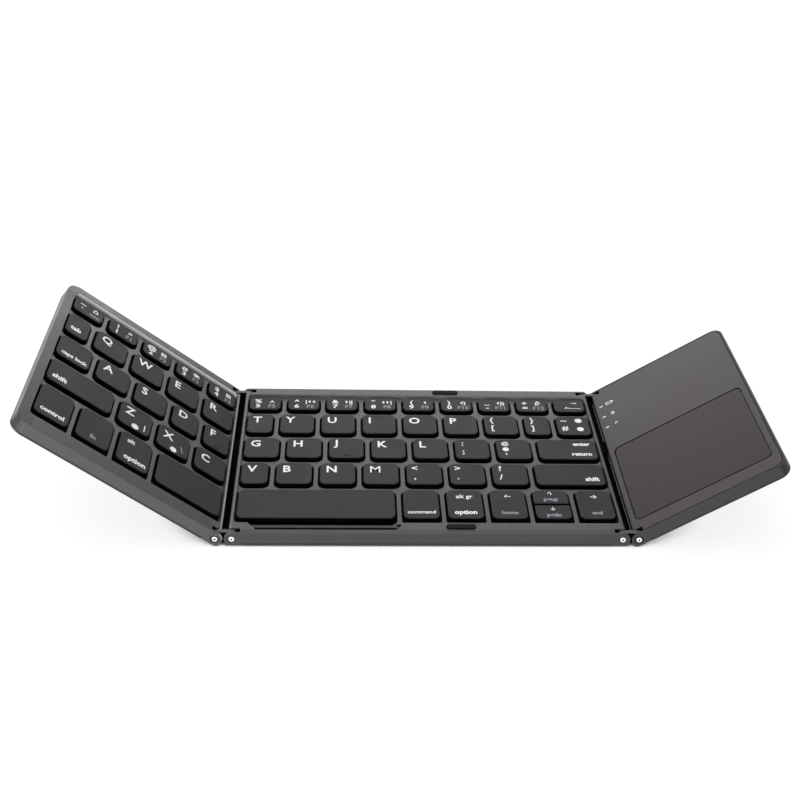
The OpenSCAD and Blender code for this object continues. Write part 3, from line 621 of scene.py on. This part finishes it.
def key_surface():
    """Key plastic, dark grey on top, with painted shade from the top edge down: the skirt turns black and rougher.
    """
    material = surface("key_plastic", (0.027, 0.027, 0.028), 0.5, 0.18, 0.012, mottle=0.08, specular=0.12)
    tree = material.node_tree
    height = tree.nodes.new("ShaderNodeAttribute")
    height.attribute_name = "below"
    fade = tree.nodes.new("ShaderNodeMapRange")
    fade.inputs["From Min"].default_value = skirt_shade_fade[0]
    fade.inputs["From Max"].default_value = skirt_shade_fade[1]
    tree.links.new(height.outputs["Fac"], fade.inputs["Value"])
    recoloured(material, fade.outputs["Result"], skirt_shade_black)
    roughness = tree.nodes["Principled BSDF"].inputs["Roughness"]
    dull = tree.nodes.new("ShaderNodeMix")
    dull.data_type = "FLOAT"
    tree.links.new(fade.outputs["Result"], dull.inputs["Factor"])
    tree.links.new(roughness.links[0].from_socket, dull.inputs[2])
    dull.inputs[3].default_value = skirt_roughness
    tree.links.new(dull.outputs[0], roughness)
    return material


skirt_shade_fade = (0.12, 0.34)
skirt_shade_black = (0.0012, 0.0012, 0.0012)
skirt_roughness = 0.85
skirt_shade_from = 0.25
key_plastic = key_surface()
key_nodes = [name for name in nodes if name.startswith(("keys_", "key_"))]
cap_top = model_high.z
cap_boxes = {}
cap_pieces = {}
for node in key_nodes:
    on_left = "left" in node or node in ("key_tab", "key_caps_lock")
    panel = "left_wing" if on_left else "centre_panel"
    boxes = solid_boxes(node, places[panel])
    caps = []
    for low, high in boxes:
        caps.append(stretched_cap(low, high, cap_top, straight_sides.get(node, 0)))
        if high.z > cap_top + bar_h / 2:
            caps.append(home_bar(low, high, cap_top))
    cap_boxes[node] = (panel, boxes)
    cap_pieces[node] = joined(caps)
bpy.data.objects.remove(cap)

# Printed signs
# White letters and signs are printed on the caps, and dimmer bluish ones for what the fn key gives. They are
# thin ink, so each is a flat outline laid on its cap and given a little thickness.
letter_em, digit_em, word_em = 5.9, 3.7, 3
letter_in, word_in, digit_in, function_in, pair_in = 2.25, 2.4, 3.6, 3.7, 3.2
letter_drop, upper_drop, lower_rise = 5.95, 4.1, 1.4
sign_bold, digit_bold, icon_bold, letter_bold, word_bold = 0.016, 0.025, 0.03, 0.022, 0.038
digit_widen = 1.15
ink_proud, ink_t = 0.012, 0.05


def sign(text, x, y, em, align="LEFT", dim=False, widen=1, bold=sign_bold):
    """One printed sign, with its baseline at y, in the panel's millimetres."""
    bpy.ops.object.select_all(action="DESELECT")
    bpy.ops.object.text_add()
    words = bpy.context.object
    words.data.body = text
    words.data.size = em
    words.data.align_x = align
    words.data.resolution_u = 2
    words.data.offset = bold * em
    bpy.ops.object.convert(target="MESH")
    words = bpy.context.object
    words.data.transform(Matrix.Translation((x, y, cap_top + 1)) @ Matrix.Diagonal((widen, 1, 1, 1)))
    tint = words.data.attributes.new("dim", "FLOAT", "POINT")
    tint.data.foreach_set("value", [1.0 if dim else 0.0] * len(words.data.vertices))
    return words


def letter(box, text, lower=0):
    rise = 0.7 if text == "J" else 0
    bold, widen = (0.004, 1.06) if text == "M" else (letter_bold, 1)
    baseline = box[3] - letter_drop - lower + rise
    return [sign(text, box[0] + letter_in, baseline, letter_em, widen=widen, bold=bold)]


def word(box, text, align="LEFT", rise=2.6, dim=False, em=word_em, bold=word_bold):
    x = {"LEFT": box[0] + word_in - 0.4, "RIGHT": box[1] - word_in, "CENTER": (box[0] + box[1]) / 2}[align]
    return [sign(text, x, box[2] + rise, em, align, dim, bold=bold)]


def middle_sign(box, text, drop, em, bold=sign_bold):
    return [sign(text, (box[0] + box[1]) / 2, box[3] - drop, em, "CENTER", bold=bold)]


def number(box, upper, lower, function, icon):
    """A key of the number row: two signs on the left, and on the right what the fn key gives."""
    left, right = box[0] + digit_in, box[1] - function_in
    return [sign(upper, left, box[3] - upper_drop, digit_em, "CENTER", widen=digit_widen, bold=digit_bold),
            sign(lower, left, box[2] + lower_rise, digit_em, "CENTER", widen=digit_widen, bold=digit_bold),
            sign(function, right, box[2] + lower_rise, 3.4, "CENTER", True),
            sign(icon, right, box[3] - upper_drop, 3.1, "CENTER", bold=icon_bold)]


def pair(box, upper, lower):
    return [sign(upper, box[0] + pair_in, box[3] - 4.6, 4.6, "CENTER"),
            sign(lower, box[0] + pair_in, box[2] + 3.2, 4.6, "CENTER")]


def dots(box, x, y, ring):
    """A filled disc, or one with a hole."""
    return [sign("◉" if ring else "●", box[0] + x, box[3] - y, digit_em, "CENTER")]


prints = {
    "keys_left_number_row": [
        lambda b: number(b, "~", "`", "esc", "⌂"), lambda b: number(b, "!", "1", "F1", "⌕"),
        lambda b: number(b, "@", "2", "F2", "▤"), lambda b: number(b, "#", "3", "F3", "⎘"),
        lambda b: number(b, "$", "4", "F4", "▥")],
    "key_tab": [lambda b: word(b, "tab", rise=3, em=3.6)],
    "keys_left_upper_row": [
        lambda b, t=text: letter(b, t) for text in "QWER"],
    "key_caps_lock": [lambda b: word(b, "caps lock", rise=2.2, em=2.9)],
    "keys_left_home_row": [lambda b, t=text: letter(b, t) for text in "AS"],
    "keys_left_home_narrow": [lambda b, t=text: letter(b, t) for text in "DF"],
    "key_left_shift": [lambda b: word(b, "shift", em=3.5)],
    "keys_left_lower_row": [
        lambda b: letter(b, "Z", 0.3) + dots(b, 7.4, 12.9, True) + [
            sign("|", b[1] - 2.6, b[2] + 2.8, 4, "CENTER")],
        lambda b: letter(b, "X", 0.9) + dots(b, 7.4, 12.9, False) + [
            sign("\\", b[1] - 3, b[2] + 2.6, 4.6, "CENTER", True)],
        lambda b: letter(b, "C", 0.9)],
    "keys_left_modifiers": [
        lambda b: word(b, "control", em=3.25), lambda b: word(b, "fn", "CENTER", dim=True, em=3.2),
        lambda b: [sign("alt", b[0] + 2.9, b[3] - 5, 3.2, bold=0.025),
                   sign("option", b[0] + 2.9, b[2] + 2.6, 3.5, bold=word_bold)]],
    "keys_centre_number_row": [
        lambda b: number(b, "%", "5", "F5", "⋏"), lambda b: number(b, "^", "6", "F6", "|⏴⏴"),
        lambda b: number(b, "&", "7", "F7", "⏵||"), lambda b: number(b, "*", "8", "F8", "⏵⏵|"),
        lambda b: number(b, "(", "9", "F9", "⏴"), lambda b: number(b, ")", "0", "F10", "⏴)"),
        lambda b: number(b, "_", "-", "F11", "⏴))"), lambda b: number(b, "+", "=", "F12", "🔒"),
        lambda b: [sign("←", b[0] + 4.2, b[2] + 1.7, 3.2), sign("——", b[0] + 6.2, b[2] + 1.85, 2.6),
                   sign("⇥", b[0] + 7.4, b[3] - 3.6, 2.8)]],
    "key_upper_narrow": [lambda b: letter(b, "T")],
    "keys_centre_upper_row": [lambda b, t=text: letter(b, t) for text in "YUIOP"] + [
        lambda b: pair(b, "{", "[")],
    "key_close_bracket": [lambda b: pair(b, "}", "]")],
    "key_screen_lock": [
        lambda b: pair(b, "~", "#") + dots(b, 9.6, 4.4, True) + dots(b, 9.6, 10.6, False)],
    "keys_centre_home_row": [lambda b, t=text: letter(b, t) for text in "GHJKL"] + [
        lambda b: pair(b, ":", ";"),
        lambda b: [sign("@", b[0] + 3.6, b[3] - 4, 3.2, "CENTER"),
                   sign("◉", b[0] + 3.6, b[3] - 8.1, 3.2, "CENTER"),
                   sign("'", b[0] + 3.6, b[2] + 0.4, 4.6, "CENTER")]],
    "key_enter": [lambda b: word(b, "enter", "RIGHT", 9.3, em=3.2) + word(b, "return", "RIGHT", 2.4, em=3.2)],
    "key_lower_narrow": [lambda b: letter(b, "V")],
    "keys_centre_lower_row": [lambda b, t=text: letter(b, t) for text in "BNM"] + [
        lambda b: pair(b, "<", ","), lambda b: pair(b, ">", "."), lambda b: pair(b, "?", "/")],
    "key_right_shift": [lambda b: word(b, "shift", "RIGHT", 2.6, em=3.3)],
    "keys_centre_bottom_row": [
        lambda b: word(b, "command", "CENTER", 2.8, em=2.75, bold=0.016),
        lambda b: middle_sign(b, "alt gr", 5, 3.1, 0.02) + word(b, "option", "CENTER", em=3.3),
        lambda b: middle_sign(b, "←", 5, 3.4) + word(b, "home", "CENTER", dim=True, em=2.8),
        lambda b: middle_sign(b, "→", 5, 3.4) + word(b, "end", "CENTER", dim=True, em=2.8)],
    "key_arrow_up": [lambda b: middle_sign(b, "↑", 3, 2.8) + word(b, "pgup", "CENTER", 1.6, True)],
    "key_arrow_down": [lambda b: middle_sign(b, "↓", 3.2, 2.8) + word(b, "pgdn", "CENTER", 1.2, True)],
}
ink = surface("print_ink", ink_and_highlight_white, 0.5, 0.1, 0.003, mottle=0.04)
tinted(ink, "dim", (0.25, 0.25, 0.31))

for node, makers in prints.items():
    panel, boxes = cap_boxes[node]
    signs = []
    for (low, high), maker in zip(boxes, makers):
        top_box = (low.x + skirt_side, high.x - skirt_side, low.y + skirt_front, high.y - skirt_rear)
        signs += maker(top_box)
    layer = joined(signs)
    laid = layer.modifiers.new("laid", "SHRINKWRAP")
    laid.target = cap_pieces[node]
    laid.wrap_method = "PROJECT"
    laid.use_project_z = True
    laid.use_negative_direction = True
    laid.use_positive_direction = False
    laid.offset = ink_proud
    bpy.ops.object.modifier_apply(modifier=laid.name)
    inked = layer.modifiers.new("inked", "SOLIDIFY")
    inked.thickness = ink_t
    inked.offset = -1
    bpy.ops.object.modifier_apply(modifier=inked.name)
    bpy.ops.object.shade_flat()
    layer.data.transform(places[panel])
    finish_piece(layer, node.replace("keys_", "print_").replace("key_", "print_"), node, "print_ink", ink)

for node, piece in cap_pieces.items():
    piece.data.transform(places[cap_boxes[node][0]])
    finish_piece(piece, node + "_caps", node, "key_plastic", key_plastic, node)
    # Faces of the skirt well below the top take the gloss-less black of painted shade.
    piece.data.materials.append(unsprayed_black)
    depths = piece.data.attributes["below"].data
    for face in piece.data.polygons:
        face.material_index = int(min(depths[vert].value for vert in face.vertices) > skirt_shade_from)

# Right wing
# A frame with a flat cover let into it. The cover has a large window for the touchpad, a smooth satin plate
# with a slightly warm tone, and three small windows for the light guides.
def right_shade(spot, normal):
    return hinge_shade(-spot.x, spot.y, spot.z - panel_thick / 2, normal)


# A faint painted highlight on the front face.
def right_highlights(spot, normal):
    return 0.045 if normal.y < -square_on and spot.y < front_face else 0


def wall_shade(spot, normal):
    """Painted shade in the narrow gap around a plate, from its rounded edge down."""
    return normal.z < 0.96


gap_shade_black = (0.002, 0.002, 0.002)
broad_patch = 45
# A darker copy of the frame paint, as painted shade on the right wing, which gets less light.
right_paint = surface("right_paint", (0.042, 0.039, 0.041), 0.4, 0.25, 0.01, specular=0.15)
tinted(right_paint, "bright", ink_and_highlight_white)
tinted(right_paint, "unsprayed", shade_dark)
right_frame = softened("right_frame", right_place, frame_edge)
marked(right_frame, "unsprayed", right_place, right_shade)
marked(right_frame, "bright", right_place, right_highlights)
finish_piece(right_frame, "right_frame_shell", "right_wing", "frame_plastic", right_paint, "right_frame")
shade_blackened(right_frame)
cover_paint = surface("cover_paint", (0.05, 0.046, 0.046), 0.4, 0.25, 0.008, specular=0.2,
                      second=(0.055, 0.044, 0.051), patch=broad_patch)
tinted(cover_paint, "unsprayed", gap_shade_black)
cover = marked(softened("right_cover", right_place, 0.14), "unsprayed", right_place, wall_shade)
cover_top = max((right_place.inverted() @ vert.co).z for vert in cover.data.vertices)
finish_piece(cover, "right_cover_plate", "right_wing", "frame_plastic", cover_paint, "right_cover")
touch_satin = surface("touch_satin", (0.036, 0.032, 0.028), 0.36, 0.2, 0.004, specular=0.15,
                      second=(0.039, 0.028, 0.028), patch=broad_patch)
tinted(touch_satin, "unsprayed", gap_shade_black)
touchpad = marked(softened("touchpad_plate", right_place, 0.2), "unsprayed", right_place, wall_shade)
finish_piece(touchpad, "touchpad", "right_wing", "touch_surface", touch_satin, "touchpad_plate")
lens = surface("light_lens", (0.85, 0.87, 0.88), 0.3, 0.1, 0.002)
guides = softened("indicator_lights", right_place, 0.05)
finish_piece(guides, "light_guides", "right_wing", "light_lens", lens, "indicator_lights")

# Status signs
# Small white signs are printed on the cover beside the light guides: a battery, a ring and a caret. Each is a
# flat plate of ink with its outline cut out by an inset.
def status_plate(low, high, corner, segments):
    """A plate of ink with round corners, lying in the cover's top, in edit mode."""
    piece = block((*low, cover_top - status_sunk), (*high, cover_top + status_proud))
    choose("edges", lambda edge: abs(edge.verts[0].co.z - edge.verts[1].co.z) > 0.01)
    bpy.ops.mesh.bevel(offset=corner, segments=segments, affect="EDGES")
    return piece


def status_outline(low, high, line, corner):
    """A rounded frame of ink on the cover, between two corners in its plane."""
    piece = status_plate(low, high, corner, 4)
    choose("faces", lambda face: abs(face.normal.z) > 0.9)
    bpy.ops.mesh.inset(thickness=line)
    bpy.ops.mesh.bridge_edge_loops()
    smoothed(piece)
    return piece


def status_bar(low, high, turn=0):
    piece = status_plate(low, high, 0.08, 2)
    smoothed(piece)
    middle = Matrix.Translation(((low[0] + high[0]) / 2, (low[1] + high[1]) / 2, 0))
    piece.data.transform(middle @ Matrix.Rotation(radians(turn), 4, "Z") @ middle.inverted())
    return piece


status_sunk, status_proud = 0.02, 0.03
status_signs = joined([
    status_outline((4.3, 35.3), (7.3, 36.9), 0.3, 0.3), status_bar((7.35, 35.7), (7.8, 36.5)),
    status_outline((5.5, 27.3), (6.8, 29.1), 0.33, 0.4),
    status_bar((5.9, 20.2), (6.2, 21.6), -24), status_bar((6.5, 20.2), (6.8, 21.6), 24)])
status_signs.data.transform(right_place)
finish_piece(status_signs, "status_signs", "right_wing", "print_ink", ink)

# Hinges
# Steel links in the frame's satin paint, joined by a black spine strip that fills the gap between two panels,
# and riveted pins with polished heads, each with a small dimple from the riveting tool.
link_paint = surface("link_paint", (0.075, 0.075, 0.077), 0.42, 0.25, 0.008, specular=0.3)
spine_black = surface("spine_black", (0.002, 0.002, 0.002), 0.9, 0.3, 0.008, specular=0.02)
pin_steel = surface("pin_steel", (0.95, 0.95, 0.95), 0.28, 0.3, 0.002, metallic=1)
# Painted shade in the dimple of each pin head.
tinted(pin_steel, "dimple", (0.01, 0.01, 0.01))
link_edge = 0.12
link_plate_y = 45.9
shank_r, head_r, head_h = 0.7, 1.15, 0.5
dimple_r = 0.42
head_curve = [(0, 0.14), (0.3, 0.16), (dimple_r, 0.34), (0.52, 0.46), (0.66, head_h), (0.85, 0.46),
              (1.02, 0.32), (head_r, 0.12), (head_r, 0)]


def rivet(length):
    """Pin with its head up, its head's underside at height zero, turned from a profile."""
    curve = head_curve + [(shank_r, 0), (shank_r, -length), (0, -length)]
    mesh = bpy.data.meshes.new("rivet")
    mesh.from_pydata([(r, 0, z) for r, z in curve], [(k, k + 1) for k in range(len(curve) - 1)], [])
    piece = placed("rivet", mesh)
    pick_up(piece)
    bpy.ops.object.mode_set(mode="EDIT")
    bpy.ops.mesh.select_all(action="SELECT")
    bpy.ops.mesh.spin(steps=28, angle=radians(360), center=(0, 0, 0), axis=(0, 0, 1))
    bpy.ops.mesh.select_all(action="SELECT")
    bpy.ops.mesh.remove_doubles(threshold=0.001)
    bpy.ops.mesh.normals_make_consistent(inside=False)
    smoothed(piece, cap_turn)
    marks = piece.data.attributes.new("dimple", "FLOAT", "FACE")
    marks.data.foreach_set("value", [float(face.center.z > 0 and face.center.xy.length < dimple_r)
                                     for face in piece.data.polygons])
    return piece


for side in ("left", "right"):
    link = softened(side + "_hinge_link", centre_place, link_edge)
    finish_piece(link, side + "_link_plates", side + "_link", "link_metal", link_paint, side + "_hinge_link")
    # The spine is black, and the link plates' sides and ends get the same black as painted shade.
    link.data.materials.append(spine_black)
    for face in link.data.polygons:
        face.material_index = int(abs(face.center.y) < link_plate_y * MM or face.normal.z < 0.8)
    rivets = []
    for low, high in solid_boxes(side + "_hinge_pins", centre_place):
        piece = rivet(high.y - low.y - head_h)
        head_y, turn = (high.y - head_h, -90) if high.y > 0 else (low.y + head_h, 90)
        seat = Matrix.Translation(((low.x + high.x) / 2, head_y, (low.z + high.z) / 2))
        piece.data.transform(seat @ Matrix.Rotation(radians(turn), 4, "X"))
        rivets.append(piece)
    pins = joined(rivets)
    pins.data.transform(centre_place)
    finish_piece(pins, side + "_pins", side + "_link", "pin_steel", pin_steel, side + "_hinge_pins")

# Flat cables
# A thin flat cable of black film carries the signals across each hinge. It bends at both pins. Here it is two
# strips that meet in the middle of the link, each cut across many times, and they stay where they lie.
cable_film = surface("cable_film", (0.003, 0.003, 0.003), 0.8, 0.5, 0.004, specular=0.03)
cable_steps = 24
for side, inner, outer in (("left", inner_pins[0], left_pin), ("right", inner_pins[1], right_pin)):
    low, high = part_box(side + "_flex_cable")
    middle = (inner.x + outer.x) / 2
    for part, pin, bodies in (("inner", inner, ("centre_panel", side + "_link")),
                              ("outer", outer, (side + "_link", side + "_wing"))):
        strip = placed(side + "_cable_" + part, nodes[side + "_flex_cable"].data.copy())
        pick_up(strip)
        bpy.ops.mesh.customdata_custom_splitnormals_clear()
        bpy.ops.object.mode_set(mode="EDIT")
        bpy.ops.mesh.select_all(action="SELECT")
        bpy.ops.mesh.remove_doubles(threshold=0.000002)
        for step in range(1, cable_steps):
            cut_x = low.x + (high.x - low.x) * step / cable_steps
            bpy.ops.mesh.select_all(action="SELECT")
            bpy.ops.mesh.bisect(plane_co=(cut_x, 0, 0), plane_no=(1, 0, 0))
        bpy.ops.mesh.select_all(action="SELECT")
        keep_left = pin.x < middle
        bpy.ops.mesh.bisect(plane_co=(middle, 0, 0), plane_no=(1, 0, 0), use_fill=True,
                            clear_inner=not keep_left, clear_outer=keep_left)
        smoothed(strip)
        strip.data.materials.clear()
        strip.data.materials.append(cable_film)
        if part == "inner":
            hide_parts(side + "_flex_cable")
        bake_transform(strip)

# Levers and domes
# Under each cap a pair of crossed plastic levers holds it level and a rubber dome pushes it up. On the keyboard
# they give way with their key; here each key's levers and dome are a piece of their own, which stays where it
# lies.
# The levers are near black, as painted shade seen through the gaps around the caps.
lever_plastic = surface("lever_plastic", (0.004, 0.004, 0.004), 0.7, 0.3, 0.01, specular=0.05)
dome_rubber = surface("dome_rubber", (0.01, 0.01, 0.01), 0.7, 0.3, 0.01, specular=0.1)


def under(verts, boxes):
    """Whether a solid lies below one of the caps."""
    low_corner, high_corner = corners_of(verts)
    middle = (low_corner + high_corner) / 2
    return any(low.x < middle.x < high.x and low.y < middle.y < high.y for low, high in boxes)


def key_springs(whole, panel, suffix, material):
    """Parts a panel's levers or domes between its keys."""
    merged = merged_shape(local_mesh(whole, places[panel]))
    replaced = [whole]
    for key, (key_panel, boxes) in cap_boxes.items():
        if key_panel != panel:
            continue
        shape = merged.copy()
        others = [vert for verts in solids_of(shape) if not under(verts, boxes) for vert in verts]
        bmesh.ops.delete(shape, geom=others, context="VERTS")
        mesh = bpy.data.meshes.new(key + "_" + suffix)
        shape.to_mesh(mesh)
        shape.free()
        mesh.transform(places[panel])
        mesh.materials.append(material)
        piece = placed(mesh.name, mesh)
        if replaced:
            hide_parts(replaced.pop())
        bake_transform(piece)
    merged.free()


for side, panel in (("centre", "centre_panel"), ("left", "left_wing")):
    key_springs(side + "_scissors", panel, "levers", lever_plastic)
    key_springs(side + "_domes", panel, "dome", dome_rubber)

# Plates and inner works
# What lies inside and below: anodised bottom plates, black membranes under the keys, steel support plates,
# the boards, the battery, screws, feet and magnets.
finishes = {
    "base_metal": surface("base_metal", (0.05, 0.05, 0.052), 0.5, 0.12, 0.006, metallic=0.6),
    # The support plates and the membranes are near black, as painted shade seen through the gaps around the caps.
    "sheet_steel": surface("sheet_steel", (0.02, 0.02, 0.021), 0.5, 0.4, 0.006, specular=0.2),
    "membrane_film": surface("membrane_film", (0.004, 0.004, 0.004), 0.6, 0.5, 0.004, specular=0.05),
    "screw_steel": surface("screw_steel", (0.35, 0.35, 0.36), 0.35, 0.3, 0.004, metallic=1),
    "foot_rubber": surface("foot_rubber", (0.004, 0.004, 0.004), 0.7, 0.3, 0.02, specular=0.1),
    "magnet_nickel": surface("magnet_nickel", (0.7, 0.7, 0.71), 0.25, 0.3, 0.002, metallic=1),
    "circuit_board": surface("circuit_board", (0.02, 0.1, 0.05), 0.4, 0.4, 0.01),
    "battery_foil": surface("battery_foil", (0.6, 0.62, 0.66), 0.35, 0.8, 0.02, metallic=0.8),
    "socket_metal": surface("socket_metal", (0.55, 0.55, 0.57), 0.3, 0.3, 0.003, metallic=1),
    "flex_film": surface("flex_film", (0.003, 0.003, 0.003), 0.8, 0.5, 0.004, specular=0.03),
}
slot_of = {part["node"]: part["material_slot"] for part in frame["record"]["subparts"]}
for name, node in nodes.items():
    if slot_of[name] in finishes:
        node.data.materials.clear()
        node.data.materials.append(finishes[slot_of[name]])
